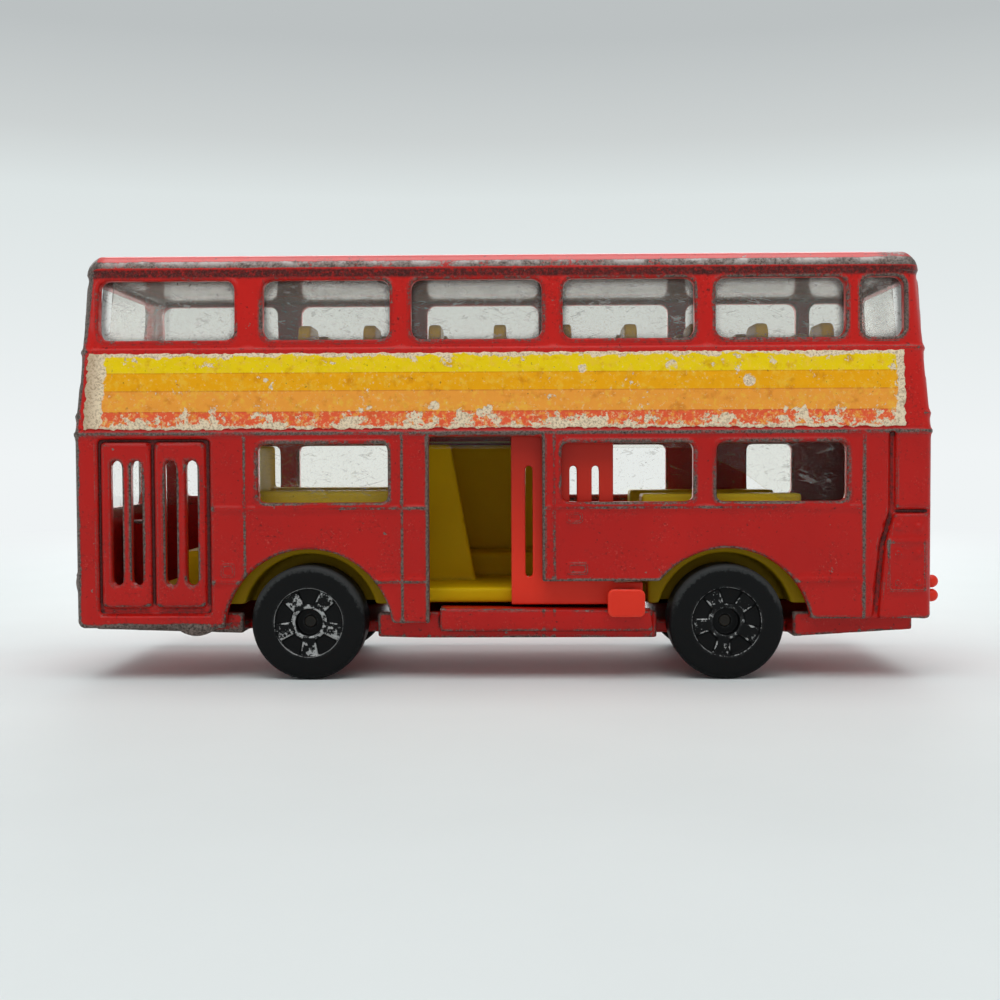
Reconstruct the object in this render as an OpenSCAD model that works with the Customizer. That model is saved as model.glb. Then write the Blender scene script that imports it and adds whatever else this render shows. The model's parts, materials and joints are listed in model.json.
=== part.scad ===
// Toy double-decker bus: a die-cast body riveted to a die-cast base, two moulded decks,
// clear glazing, a centre door that slides on the base's sill, and four wheels on two axles.
// Front is -X, the door side is -Y and +Z is up. The origin is on the ground under the middle.
// Heights named _h are measured from the underside of the base, in millimetres.

/* [Body casting] */
// Length of the body
body_len = 72; // [66:0.5:80]
// Width of the body
body_w = 21; // [19.5:0.25:24]
// Thickness of the cast walls
wall = 1; // [0.8:0.05:1.2]
// Height of the line between the two decks
deck_h = 17.4; // [16.4:0.1:19]
// Height from the deck line to the roof
upper_h = 15.05; // [14.6:0.05:18]
// How far each end leans in from the deck line to the roof
end_lean = 1; // [0.4:0.05:1.4]
// How far each side leans in from the deck line to the roof
side_lean = 0.5; // [0.2:0.05:0.8]
// Radius of the upright corners
corner_r = 0.8; // [0.5:0.05:1.4]
// Radius of the roof's edge
roof_r = 1.7; // [0.8:0.05:1.8]
// Height of the roof's overhanging edge
gutter_h = 1.7; // [1.3:0.05:1.8]
// How far the roof's edge stands out
gutter_t = 0.2; // [0.1:0.02:0.3]
// Height of the skirt in front of the front wheels
front_skirt_h = 1; // [0.6:0.05:1.6]
// Height of the skirt between the wheels
mid_skirt_h = 1.4; // [0.8:0.05:2]
// Height of the skirt behind the rear wheels
rear_skirt_h = 1.7; // [0.8:0.05:2]
// Radius of the body's lower front corner, twice that of the rear one
skirt_r = 0.9; // [0.4:0.05:1.2]
// Height of the lower edge of the panel that the door slides behind
panel_h = 4.9; // [4.7:0.05:5.6]
// Width of the raised lines on the panels
bead_w = 0.3; // [0.2:0.02:0.4]
// How far the raised lines stand out
bead_t = 0.16; // [0.06:0.01:0.2]
// Height of the line across each end, above the deck line
end_line_rise = 1.5; // [0.8:0.1:3]
// Width of the slots in the front door
front_slot_w = 0.93; // [0.6:0.02:1.1]
// Depth of the joints round the front door and the engine cover
joint_depth = 0.4; // [0.2:0.05:0.5]
// Width of the joints round the front door and the engine cover
joint_w = 0.38; // [0.3:0.02:0.6]

/* [Windows] */
// Height of the upper windows
upper_window_h = 5; // [4:0.1:5.6]
// Distance from the roof down to the upper windows
upper_window_drop = 2.2; // [1.8:0.05:2.8]
// Corner radius of the upper windows
upper_window_r = 0.8; // [0.3:0.05:1.4]
// Height of the lower windows
lower_window_h = 4.9; // [4:0.1:5.4]
// Distance from the deck line down to the lower windows
lower_window_drop = 0.9; // [0.7:0.05:1.4]
// Corner radius of the lower windows
lower_window_r = 0.5; // [0.3:0.05:1.2]
// Width of the raised rim round each window
rim_w = 0.35; // [0.2:0.05:0.5]
// Height of the windscreen
windscreen_h = 5.2; // [4:0.1:6]
// Width of the windscreen and of the upper end windows
end_window_w = 16.6; // [14:0.2:17]
// Thickness of the clear glazing
glass_t = 0.7; // [0.5:0.05:0.9]
// How far the glazing reaches past a window's edge
glass_lap = 0.8; // [0.5:0.05:1]

/* [Sliding door] */
// Thickness of the door leaf
leaf_t = 0.8; // [0.6:0.05:1]
// Gap between the leaf's edges and the doorway when it is shut
leaf_margin = 0.42; // [0.2:0.02:0.6]
// How much of the leaf stays in the doorway when it is open
leaf_show = 2.6; // [1.5:0.1:3.2]
// Gap between the doorway's top edge and the deck line
door_header = 0.3; // [0.2:0.05:0.6]
// Clearance between the door and what it slides on
slide_gap = 0.15; // [0.1:0.01:0.2]
// Width of the slots in the leaf
leaf_slot_w = 0.6; // [0.4:0.05:0.8]
// Length of the bar from the leaf to the tab's far edge
bar_len = 2.5; // [2:0.1:3]
// Width of the finger tab
tab_w = 3.1; // [2.4:0.1:3.6]
// Height of the finger tab
tab_h = 2.3; // [2:0.05:2.4]
// Thickness of the finger tab
tab_t = 0.8; // [0.5:0.05:0.85]
// How far the finger tab hangs below the sill's top
tab_drop = 0.7; // [0.3:0.05:1]
// Corner radius of the finger tab
tab_r = 0.5; // [0.2:0.05:0.8]

/* [Wheels] */
// Diameter of the wheels
wheel_d = 9.7; // [9:0.05:10.2]
// Width of the wheels
wheel_w = 3.4; // [2.8:0.1:3.6]
// How far the wheels sit inside the body's side
wheel_inset = 0.2; // [0.1:0.05:0.5]
// Radius of the tread's shoulders
shoulder_r = 0.45; // [0.2:0.05:0.8]
// Diameter of the hub's recess
hub_d = 5.76; // [5:0.05:6.4]
// Depth of the hub's recess
hub_depth = 0.5; // [0.3:0.05:0.7]
// Diameter of the hole in the hub
hub_hole_d = 2.3; // [2:0.05:2.6]
// Depth of the hole in the hub
hub_hole_depth = 1.1; // [0.8:0.05:1.4]
// How far the rear wheels are turned at rest, in degrees
rear_turn = 8; // [0:1:60]
// Number of spokes
spoke_count = 5; // [4:1:7]
// Diameter of the axles
axle_d = 1; // [0.8:0.05:1.2]
// Clearance round an axle in its groove
axle_fit = 0.05; // [0.02:0.01:0.1]
// Gap round the wheels inside the lower deck
wheel_gap = 0.9; // [0.6:0.05:1]
// Distance from the tread to the wheel arch
arch_gap = 2.25; // [1.8:0.05:2.5]
// How far the arch's centre lies below the axle
arch_drop = 0.9; // [0.4:0.05:1.2]

/* [Base] */
// Thickness of the base plate
base_t = 1.2; // [1.1:0.05:1.4]
// Height of the axles above the base's underside
axle_rise = 1.45; // [1.4:0.05:1.6]
// Gap between the base and the inside of the body
base_gap = 0.3; // [0.2:0.05:0.5]
// Height of the rim round the base
rim_h = 2.2; // [1.9:0.05:2.4]
// Thickness of the rim round the base
rim_t = 0.8; // [0.6:0.05:0.9]
// How far the underside rises at the front end
nose_rise = 0.8; // [0.2:0.05:1]
// How far the underside rises at the rear end
tail_rise = 0.65; // [0.2:0.05:1]
// Height of the sill's top
sill_top_h = 2.7; // [2.5:0.05:2.9]
// How far the sill's top falls towards its rear end
sill_fall = 0.25; // [0:0.05:0.5]
// Height of the sill's lower edge
sill_low_h = 0.7; // [0.4:0.05:1]
// Length of the blocks that carry the axles
bearing_len = 3.2; // [2.4:0.1:4]
// Width of the blocks that carry the axles
bearing_w = 2; // [1.4:0.1:2.6]
// Diameter of the rivet posts
post_d = 3; // [2.6:0.1:3.4]
// Diameter of the shank that passes through the base
shank_d = 2; // [1.6:0.1:2.2]
// Thickness of the spun rivet head
rivet_t = 0.6; // [0.4:0.05:0.7]

/* [Decks] */
// Height of the lower deck's underside
floor_h = 2.9; // [2.7:0.05:3.2]
// Thickness of the floors
floor_t = 1.3; // [1:0.05:1.6]
// Height of the seats over the wheels
bench_h = 12.5; // [11.6:0.1:13.2]
// How much lower the seats over the rear wheels are
rear_bench_drop = 0.35; // [0:0.05:0.8]
// Distance from the middle of the aisle to the seats over the wheels
aisle_half = 4.5; // [3.6:0.1:5]
// Thickness of the partitions and seat backs
partition_t = 1.1; // [0.8:0.05:1.4]
// Number of seat rows on the upper deck
seat_rows = 9; // [6:1:10]
// Height of the upper seat backs above their floor
seat_back_h = 8.1; // [6:0.1:9]
// Height of the upper cushions above their floor
cushion_h = 3.4; // [2.5:0.1:4.5]
// Thickness of the upper deck's side walls
tray_t = 0.9; // [0.7:0.05:1.1]

/* [Labels and lamps] */
// Thickness of the side labels
label_t = 0.1; // [0.06:0.01:0.12]
// Distance from the label's rear edge to the body's end
label_rear_margin = 2.3; // [1.2:0.1:4]
// Diameter of the rear lamps
lamp_d = 1.1; // [0.8:0.05:1.1]
// How far the rear lamps stand out
lamp_proud = 1; // [0.6:0.05:1.1]
// Distance between the two lamps of a pair
lamp_pitch = 1.2; // [1.15:0.05:1.5]
// Height of the lower lamp above the rear skirt
lamp_rise = 1.8; // [1.4:0.1:2.4]
// Distance from the lamps to the body's side
lamp_side = 1.8; // [1.8:0.1:2.6]
// Diameter of the headlamp bosses
headlamp_d = 2.2; // [1.6:0.1:2.6]
// Height of the headlamp bosses
headlamp_h = 4.9; // [3.6:0.1:6]
// How far the headlamp bosses stand out
headlamp_proud = 0.2; // [0.1:0.05:0.6]

/* [Hidden] */
$fn = 64;
hull_fn = 32;
// One overrun for every cut
overrun = 2;
// Least radius of a blended corner, and the height of a blended foot
least_r = 0.1;
foot_t = 0.01;
// Gap between parts that are seated side by side
fit_gap = 0.2;
// Gap between a label and its wall
label_gap = 0.02;

body_red = "firebrick";
door_orange = "orangered";
deck_yellow = "gold";
clear = [0.85, 0.9, 0.9, 0.4];
tyre_black = [0.12, 0.12, 0.13];
steel = "silver";
paper = "orange";

// Shares of the body's length, from the front end
upper_window_shares = [[0.031, 0.19], [0.223, 0.371], [0.396, 0.548],
    [0.5725, 0.7247], [0.7494, 0.8993], [0.918, 0.9665]];
near_window_shares = [[0.217, 0.368], [0.5705, 0.7227], [0.75, 0.9]];
far_window_shares = [[0.058, 0.19], [0.217, 0.368], [0.5705, 0.7227], [0.834, 0.8955]];
doorway_shares = [0.416, 0.5476];
axle_shares = [0.2736, 0.7625];
post_share = 0.9528;
near_line_shares = [0.2006, 0.3843, 0.4142, 0.5493, 0.5617, 0.9201];
far_line_shares = [0.2006, 0.3843, 0.5493, 0.9201];
front_recess_shares = [0.0282, 0.1606];
front_leaf_shares = [[0.0325, 0.0901], [0.0953, 0.154]];
front_slot_shares = [0.0502, 0.0738, 0.1137, 0.1384];
bulkhead_share = 0.19;
cab_step_shares = [0.115, 0.18];
stair_shares = [0.38, 0.435, 0.4694];
landing_shares = [0.445, 0.59];
stair_wall_share = 0.565;
pane_cut_shares = [0.411, 0.725, 0.7875, 0.846];
seat_shares = [0.265, 0.888];
cover_joint_shares = [0.9493, 0.9493, 0.938, 0.93];
skirt_lobe_share = 0.142;
ramp_shares = [0.4, 0.83];

// Shares of the height from the base to the deck line
front_recess_h_shares = [0.126, 0.977];
front_leaf_h_shares = [0.161, 0.96];
front_slot_h_shares = [0.267, 0.874];
pane_strip_h_share = 0.925;
pane_bend_h_share = 0.8;
cab_step_h_share = 0.422;
landing_h_share = 0.368;
cover_joint_h_shares = [1, 0.62, 0.454, 0.08];
cover_h_share = 0.605;
low_line_h_share = 0.282;

// Slots of the sliding leaf: pitch as a share of its width, ends as shares of its height
leaf_slot_pitch_share = 0.217;
leaf_slot_h_shares = [0.163, 0.816];
// Half widths of a spoke at the hole and at the rim, and the hub's ring, as shares of the hole's size
spoke_root_share = 0.42;
spoke_rim_share = 0.72;
hub_ring_share = 1.35;

// Outlined plates on the door side: shares of the length, then of the height to the deck line
near_plate_shares = [[0.1728, 0.188, 0.308, 0.371], [0.5758, 0.5946, 0.565, 0.615],
    [0.577, 0.6, 0.318, 0.371], [0.948, 0.9925, 0.23, 0.475]];
// Small marks on the engine cover
cover_mark_shares = [[0.96, 0.537], [0.9835, 0.537], [0.96, 0.41], [0.9835, 0.41],
    [0.96, 0.27], [0.9835, 0.27]];
mark_w = 0.5;
plate_line_w = 0.16;

// Places that follow from the sizes
half_len = body_len / 2;
half_w = body_w / 2;
inner_len = half_len - wall;
inner_w = half_w - wall;
axle_z = wheel_d / 2;
base_z = axle_z - axle_rise;
deck_z = base_z + deck_h;
roof_z = deck_z + upper_h;
wheel_r = wheel_d / 2;
wheel_face_y = half_w - wheel_inset;
well_y = wheel_face_y - wheel_w - wheel_gap / 2;
axle_xs = [for (s = axle_shares) along(s)];
doorway_x = [for (s = doorway_shares) along(s)];
doorway_z = deck_z - door_header;
post_x = along(post_share);
post_top_h = deck_h - lower_window_drop - windscreen_h - 2 * glass_lap;

upper_window_z = [roof_z - upper_window_drop - upper_window_h, roof_z - upper_window_drop];
lower_window_z = [deck_z - lower_window_drop - lower_window_h, deck_z - lower_window_drop];
windscreen_z = [deck_z - lower_window_drop - rim_w - windscreen_h, deck_z - lower_window_drop - rim_w];
upper_sill_z = upper_window_z[0] - 2 * rim_w - fit_gap;
belt_z = lower_window_z[0] - rim_w - bead_w / 2;
low_line_z = base_z + low_line_h_share * deck_h;
end_line_z = deck_z + end_line_rise;

leaf_y = inner_w - slide_gap;
glass_y = leaf_y - leaf_t - slide_gap;
deck_edge_y = glass_y - slide_gap / 2;
leaf_w = doorway_x[1] - doorway_x[0] - 2 * leaf_margin;
leaf_x = doorway_x[1] - leaf_show;
sill_z = base_z + sill_top_h;
leaf_z = [sill_z + slide_gap, deck_z - slide_gap];
bar_end_x = leaf_x + leaf_w + bar_len;
panel_z = base_z + panel_h;
tab_y = half_w + slide_gap;
tab_z = sill_z - tab_drop;
leaf_shut_x = doorway_x[0] + leaf_margin;

floor_z = base_z + floor_h;
floor_top_z = floor_z + floor_t;
ledge_z = lower_window_z[0] - glass_lap;
upper_glass_z = upper_window_z[0] - glass_lap;
bearing_z = axle_z + axle_d / 2 + axle_fit;
bearing_y = well_y - axle_d - bearing_w / 2;
lamp_y = half_w - lamp_side;
lamp_zs = [for (k = [0, 1]) base_z + rear_skirt_h + lamp_rise + k * lamp_pitch];
bulkhead_x = along(bulkhead_share);

function along(share) = body_len * (share - 0.5);
function level(share) = base_z + deck_h * share;
function lean_at(lean, rise) = lean * rise / (upper_h - roof_r);

// Rectangle with round corners between two points
module round_rect(low, high, r) {
    fit_r = min(r, (high.x - low.x) / 2, (high.y - low.y) / 2);
    translate([low.x + fit_r, low.y]) square([high.x - low.x - 2 * fit_r, high.y - low.y]);
    translate([low.x, low.y + fit_r]) square([high.x - low.x, high.y - low.y - 2 * fit_r]);
    for (x = [low.x + fit_r, high.x - fit_r], y = [low.y + fit_r, high.y - fit_r])
        translate([x, y]) circle(fit_r);
}

// Upright slot with round ends
module slot(x, z, w) {
    translate([x - w / 2, z[0] + w / 2]) square([w, z[1] - z[0] - w]);
    for (end_z = [z[0] + w / 2, z[1] - w / 2]) translate([x, end_z]) circle(d = w);
}

// Extrudes an outline drawn in X and Z from y0 to y1
module along_y(y0, y1) {
    translate([0, y1, 0]) rotate([90, 0, 0]) linear_extrude(y1 - y0) children();
}

// Extrudes an outline drawn in Y and Z from x0 to x1
module along_x(x0, x1) {
    translate([x0, 0, 0]) rotate([90, 0, 90]) linear_extrude(x1 - x0) children();
}

// Box between two corners
module block(low, high) {
    translate(low) cube(high - low);
}

// Leaning form of the upper deck, drawn in by an inset
module upper_form(inset) {
    foot_r = max(corner_r - inset, least_r);
    top_r = max(roof_r - inset, least_r);
    hull() for (sx = [-1, 1], sy = [-1, 1]) {
        translate([sx * (half_len - inset - foot_r), sy * (half_w - inset - foot_r), deck_z])
            cylinder(r = foot_r, h = foot_t, $fn = hull_fn);
        translate([sx * (half_len - end_lean - inset - top_r),
                sy * (half_w - side_lean - inset - top_r), roof_z - inset - top_r])
            sphere(top_r, $fn = hull_fn);
    }
}

// Upright form of the lower deck, drawn in by an inset
module lower_form(inset, z0, z1) {
    translate([0, 0, z0]) linear_extrude(z1 - z0)
        round_rect([inset - half_len, inset - half_w], [half_len - inset, half_w - inset],
            max(corner_r - inset, least_r));
}

// Outline of a side window, grown by a rim
module window_outline(shares, z, r, grow) {
    round_rect([along(shares[0]) - grow, z[0] - grow], [along(shares[1]) + grow, z[1] + grow], r + grow);
}

// Outline of an end window, grown by a rim
module end_outline(z, r, grow) {
    round_rect([-end_window_w / 2 - grow, z[0] - grow], [end_window_w / 2 + grow, z[1] + grow], r + grow);
}

// Extrudes an outline through both leaning sides
module both_sides() {
    for (m = [0, 1]) mirror([0, m, 0]) along_y(-body_w, side_lean + fit_gap - inner_w) children();
}

// Extrudes an outline through both leaning ends
module both_ends() {
    for (m = [0, 1]) mirror([m, 0, 0]) along_x(-body_len, end_lean + fit_gap - inner_len) children();
}

// Rims, lines and the roof's edge that stand out from the leaning walls
module upper_relief() {
    intersection() {
        upper_form(-bead_t);
        union() {
            both_sides() for (s = upper_window_shares)
                window_outline(s, upper_window_z, upper_window_r, rim_w);
            both_ends() end_outline(upper_window_z, upper_window_r, rim_w);
            block([-body_len, -body_w, upper_sill_z - bead_w / 2],
                [body_len, body_w, upper_sill_z + bead_w / 2]);
            for (sx = [-1, 1]) translate([sx * body_len, 0, 0])
                block([-half_len - corner_r, -body_w, end_line_z - bead_w / 2],
                    [half_len + corner_r, body_w, end_line_z + bead_w / 2]);
        }
    }
    intersection() {
        upper_form(-gutter_t);
        block([-body_len, -body_w, roof_z - gutter_h], [body_len, body_w, roof_z]);
    }
}

// Rims and lines that stand out from the upright walls
module lower_relief() {
    relief_y = half_w + bead_t;
    lower_form(-bead_t, deck_z - bead_w / 2, deck_z + bead_w / 2);
    along_y(-relief_y, -inner_w) {
        for (s = near_window_shares) window_outline(s, lower_window_z, lower_window_r, rim_w);
        for (s = near_line_shares) panel_line(s);
        side_lines();
        for (p = near_plate_shares) plate_lines(p);
        for (m = cover_mark_shares) translate([along(m[0]), level(m[1])]) square(mark_w, center = true);
    }
    along_y(inner_w, relief_y) {
        for (s = far_window_shares) window_outline(s, lower_window_z, lower_window_r, rim_w);
        for (s = far_line_shares) panel_line(s);
        side_lines();
    }
    along_x(-half_len - bead_t, -inner_len) end_outline(windscreen_z, lower_window_r, rim_w);
    for (sy = [-1, 1]) translate([-half_len - headlamp_proud, sy * lamp_y, base_z + headlamp_h])
        rotate([0, 90, 0]) cylinder(d = headlamp_d, h = wall);
}

// Upright line from the base to the deck line
module panel_line(share) {
    translate([along(share) - bead_w / 2, base_z]) square([bead_w, deck_h]);
}

// Belt line and lower line along a side
module side_lines() {
    for (z = [belt_z, low_line_z])
        translate([along(front_recess_shares[1]), z - bead_w / 2])
            square([along(near_line_shares[5]) - along(front_recess_shares[1]), bead_w]);
}

// Thin outline of a plate
module plate_lines(p) {
    low = [along(p[0]), level(p[2])];
    high = [along(p[1]), level(p[3])];
    line = [plate_line_w, plate_line_w];
    difference() {
        translate(low) square(high - low);
        translate(low + line) square(high - low - 2 * line);
    }
}

// Joints of the front door and of the engine cover, sunk into the door side
module side_joints() {
    leaf_low = level(front_leaf_h_shares[0]);
    leaf_high = level(front_leaf_h_shares[1]);
    along_y(-half_w - overrun, joint_depth - half_w) {
        difference() {
            round_rect([along(front_recess_shares[0]), level(front_recess_h_shares[0])],
                [along(front_recess_shares[1]), level(front_recess_h_shares[1])], joint_w);
            for (s = front_leaf_shares)
                round_rect([along(s[0]), leaf_low], [along(s[1]), leaf_high], joint_w);
        }
        cover_joint();
    }
}

// Curved joint in front of the engine cover, with a branch to the rear corner
module cover_joint() {
    left = [for (k = [0:3]) [along(cover_joint_shares[k]), level(cover_joint_h_shares[k])]];
    right = [for (k = [3:-1:0]) left[k] + [joint_w + bead_t, 0]];
    polygon(concat(left, right));
    translate([along(cover_joint_shares[1]), level(cover_h_share)]) square([half_len, joint_w]);
}

// Post that is riveted through the base, with its web to the end wall
module rivet_post(sx) {
    seat_z = base_z + rim_h;
    post_top_z = base_z + post_top_h;
    head_z = base_z + base_t - rivet_t;
    translate([sx * post_x, 0, 0]) {
        translate([0, 0, seat_z]) cylinder(d = post_d, h = post_top_z - seat_z);
        translate([0, 0, head_z]) cylinder(d = shank_d, h = seat_z + wall - head_z);
        translate([0, 0, head_z]) cylinder(d = post_d, h = rivet_t);
    }
    web = sx > 0 ? [post_x, inner_len + wall / 2] : [-inner_len - wall / 2, -post_x];
    block([web[0], -wall / 2, seat_z], [web[1], wall / 2, post_top_z]);
}

// Cut that rounds the lower corner of one end
module end_corner(sx, r, z) {
    translate([sx * (half_len - r), 0, z + r]) mirror([sx > 0 ? 0 : 1, 0, 0]) rotate([90, 0, 0])
        linear_extrude(2 * body_w, center = true) difference() {
            translate([0, -r - overrun]) square(r + overrun);
            circle(r);
        }
}

// Cuts that shape the lower edge, the arches and the doorway
module skirt_cuts() {
    cut_z = base_z - overrun;
    for (x = axle_xs) translate([x, 0, axle_z - arch_drop]) rotate([90, 0, 0])
        cylinder(r = wheel_r + arch_gap, h = 2 * body_w, center = true);
    block([-body_len, -body_w, cut_z], [axle_xs[0], body_w, base_z + front_skirt_h]);
    block([axle_xs[0], -body_w, cut_z], [axle_xs[1], body_w, base_z + mid_skirt_h]);
    block([axle_xs[1], -body_w, cut_z], [body_len, body_w, base_z + rear_skirt_h]);
    end_corner(-1, skirt_r, base_z + front_skirt_h);
    end_corner(1, skirt_r / 2, base_z + rear_skirt_h);
    block([doorway_x[0], -body_w, cut_z], [doorway_x[1], -inner_w + overrun, doorway_z]);
    block([doorway_x[0], -body_w, cut_z], [axle_xs[1], -inner_w + overrun, panel_z]);
}

// Openings for the windows, the front door's slots and the lamp stems
module window_cuts() {
    both_sides() for (s = upper_window_shares) window_outline(s, upper_window_z, upper_window_r, 0);
    both_ends() end_outline(upper_window_z, upper_window_r, 0);
    along_y(-body_w, -inner_w + overrun) {
        for (s = near_window_shares) window_outline(s, lower_window_z, lower_window_r, 0);
        for (s = front_slot_shares) slot(along(s), [for (h = front_slot_h_shares) level(h)], front_slot_w);
    }
    along_y(inner_w - overrun, body_w)
        for (s = far_window_shares) window_outline(s, lower_window_z, lower_window_r, 0);
    along_x(-body_len, -inner_len + overrun) end_outline(windscreen_z, lower_window_r, 0);
    for (sy = [-1, 1], z = lamp_zs) translate([inner_len - overrun, sy * lamp_y, z])
        rotate([0, 90, 0]) cylinder(d = lamp_d / 2, h = wall + 2 * overrun);
}

// Lobe under the skirt, in front of the front wheel on the door side
module skirt_lobe() {
    lobe_r = wheel_r / 2;
    lobe_x = along(skirt_lobe_share);
    intersection() {
        translate([lobe_x, -inner_w, base_z + front_skirt_h / 3 + lobe_r])
            rotate([90, 0, 0]) cylinder(r = lobe_r, h = wall);
        block([lobe_x - lobe_r, -half_w, base_z],
            [lobe_x + lobe_r, -inner_w, base_z + front_skirt_h + bead_t]);
    }
}

module body_shell() {
    color(body_red) {
        difference() {
            union() {
                lower_form(0, base_z + min(front_skirt_h, mid_skirt_h, rear_skirt_h), deck_z);
                upper_form(0);
                lower_relief();
                upper_relief();
            }
            lower_form(wall, base_z - overrun, deck_z + foot_t);
            upper_form(wall);
            skirt_cuts();
            side_joints();
            window_cuts();
        }
        for (sx = [-1, 1]) rivet_post(sx);
        skirt_lobe();
    }
}

// Side outline of the base plate, with its underside rising to both ends
module base_outline() {
    end_x = inner_len - base_gap;
    polygon([[-end_x, base_z + base_t], [-end_x, base_z + nose_rise], [along(ramp_shares[0]), base_z],
        [along(ramp_shares[1]), base_z], [end_x, base_z + tail_rise], [end_x, base_z + base_t]]);
}

// Sill that the door slides on, lower at its rear end
module sill() {
    sill_x = [doorway_x[0] + 2 * leaf_margin, axle_xs[1] - wheel_r - 1.5 * wheel_gap];
    along_y(-half_w, -deck_edge_y)
        polygon([[sill_x[0], base_z + sill_low_h], [sill_x[1], base_z + sill_low_h],
            [sill_x[1], sill_z - sill_fall], [sill_x[0], sill_z]]);
}

module baseplate() {
    edge_y = inner_w - base_gap;
    end_x = inner_len - base_gap;
    rim_z = base_z + (base_t + tail_rise) / 2;
    color(body_red) difference() {
        union() {
            along_y(-edge_y, edge_y) base_outline();
            for (sy = [-1, 1]) translate([0, sy * (edge_y - rim_t / 2), 0])
                block([-end_x, -rim_t / 2, rim_z], [end_x, rim_t / 2, base_z + rim_h]);
            sill();
            for (x = axle_xs, sy = [-1, 1]) translate([x, sy * bearing_y, 0])
                block([-bearing_len / 2, -bearing_w / 2, base_z + base_t / 2],
                    [bearing_len / 2, bearing_w / 2, bearing_z]);
            for (sx = [-1, 1]) translate([sx * post_x, 0, rim_z])
                cylinder(d = post_d + 2 * rim_t, h = base_z + rim_h - rim_z);
        }
        for (x = axle_xs) {
            for (sy = [-1, 1]) translate([x, sy * (well_y + body_w / 2), 0])
                block([-wheel_r - wheel_gap, -body_w / 2, base_z - overrun],
                    [wheel_r + wheel_gap, body_w / 2, base_z + wheel_d]);
            translate([x, 0, axle_z]) rotate([90, 0, 0])
                cylinder(d = axle_d + 2 * axle_fit, h = 2 * body_w, center = true);
            block([x - axle_d / 2 - axle_fit, -body_w, axle_z],
                [x + axle_d / 2 + axle_fit, body_w, axle_z + wheel_d]);
        }
        for (sx = [-1, 1]) translate([sx * post_x, 0, base_z - overrun]) {
            cylinder(d = shank_d + fit_gap, h = 2 * overrun + rim_h);
            cylinder(d = post_d + 2 * fit_gap, h = overrun + base_t);
        }
    }
}

// Seat over one pair of wheels on one side, with the ledge that carries the glazing
module wheel_seat(x) {
    half = wheel_r + wheel_gap + partition_t;
    seat_y = glass_y - glass_t - fit_gap;
    seat_h = bench_h - (x > 0 ? rear_bench_drop : 0);
    block([x - half, aisle_half, floor_z], [x + half, seat_y, base_z + seat_h]);
    block([x - half, aisle_half, floor_z], [x + half, inner_w - base_gap, ledge_z]);
}

// Side of the staircase, with its sloping edge
module stair_side() {
    stair_top_z = deck_z - glass_t - fit_gap;
    stair_y = aisle_half / 2;
    along_y(-stair_y, partition_t - stair_y)
        polygon([[along(stair_shares[0]), floor_z], [along(stair_shares[2]), floor_z],
            [along(stair_shares[1]), stair_top_z], [along(stair_shares[0]), stair_top_z]]);
}

module lower_deck() {
    deck_end = post_x - post_d / 2 - 2 * fit_gap;
    edge_y = inner_w - base_gap;
    wall_top_z = deck_z - glass_t - fit_gap;
    cabin_y = glass_y - glass_t - fit_gap;
    color(deck_yellow) difference() {
        union() {
            block([-deck_end, -edge_y, floor_z], [deck_end, edge_y, floor_top_z]);
            for (x = axle_xs, m = [0, 1]) mirror([0, m, 0]) wheel_seat(x);
            block([bulkhead_x - partition_t, -cabin_y, floor_z], [bulkhead_x, cabin_y, wall_top_z]);
            block([along(cab_step_shares[0]), -cabin_y, floor_z],
                [along(cab_step_shares[1]), cabin_y, level(cab_step_h_share)]);
            stair_side();
            block([along(stair_shares[0]), cabin_y - partition_t, floor_z],
                [along(stair_wall_share), cabin_y, wall_top_z]);
            block([along(landing_shares[0]), aisle_half / 2, floor_z],
                [along(landing_shares[1]), edge_y, level(landing_h_share)]);
            block([along(landing_shares[0]), edge_y - 2 * partition_t, floor_z],
                [along(landing_shares[1]), edge_y - partition_t, ledge_z]);
            for (x = axle_xs, sy = [-1, 1]) translate([x, sy * bearing_y, 0])
                block([-bearing_len / 2, -bearing_w / 2, bearing_z],
                    [bearing_len / 2, bearing_w / 2, floor_top_z]);
        }
        for (x = axle_xs, sy = [-1, 1]) translate([x, sy * (well_y + body_w / 2), axle_z])
            rotate([90, 0, 0]) cylinder(r = wheel_r + wheel_gap, h = body_w, center = true);
        block([leaf_shut_x - leaf_margin - fit_gap, -body_w, base_z],
            [bar_end_x + 2 * fit_gap, -deck_edge_y, roof_z]);
    }
}

module upper_deck() {
    inset = wall + base_gap;
    floor_end_z = deck_z + floor_t;
    seat_pitch = (along(seat_shares[1]) - along(seat_shares[0])) / (seat_rows - 1);
    seat_y = [aisle_half / 2, half_w - side_lean - inset - tray_t - fit_gap];
    color(deck_yellow) {
        difference() {
            intersection() {
                upper_form(inset);
                block([-body_len, -body_w, deck_z], [body_len, body_w, upper_glass_z]);
            }
            intersection() {
                upper_form(inset + tray_t);
                block([-body_len, -body_w, floor_end_z], [body_len, body_w, roof_z]);
            }
        }
        for (k = [0:seat_rows - 1], m = [0, 1]) mirror([0, m, 0])
            translate([along(seat_shares[0]) + k * seat_pitch, 0, 0]) {
                along_x(-partition_t / 2, partition_t / 2)
                    round_rect([seat_y[0], floor_end_z - floor_t / 2],
                        [seat_y[1], floor_end_z + seat_back_h], partition_t);
                block([-seat_pitch / 2, seat_y[0], floor_end_z - floor_t / 2],
                    [0, seat_y[1], floor_end_z + cushion_h]);
            }
    }
}

module upper_glazing() {
    inset = wall + slide_gap;
    color(clear) difference() {
        intersection() {
            upper_form(inset);
            block([-body_len, -body_w, upper_glass_z], [body_len, body_w, roof_z]);
        }
        upper_form(inset + glass_t);
    }
}

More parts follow.
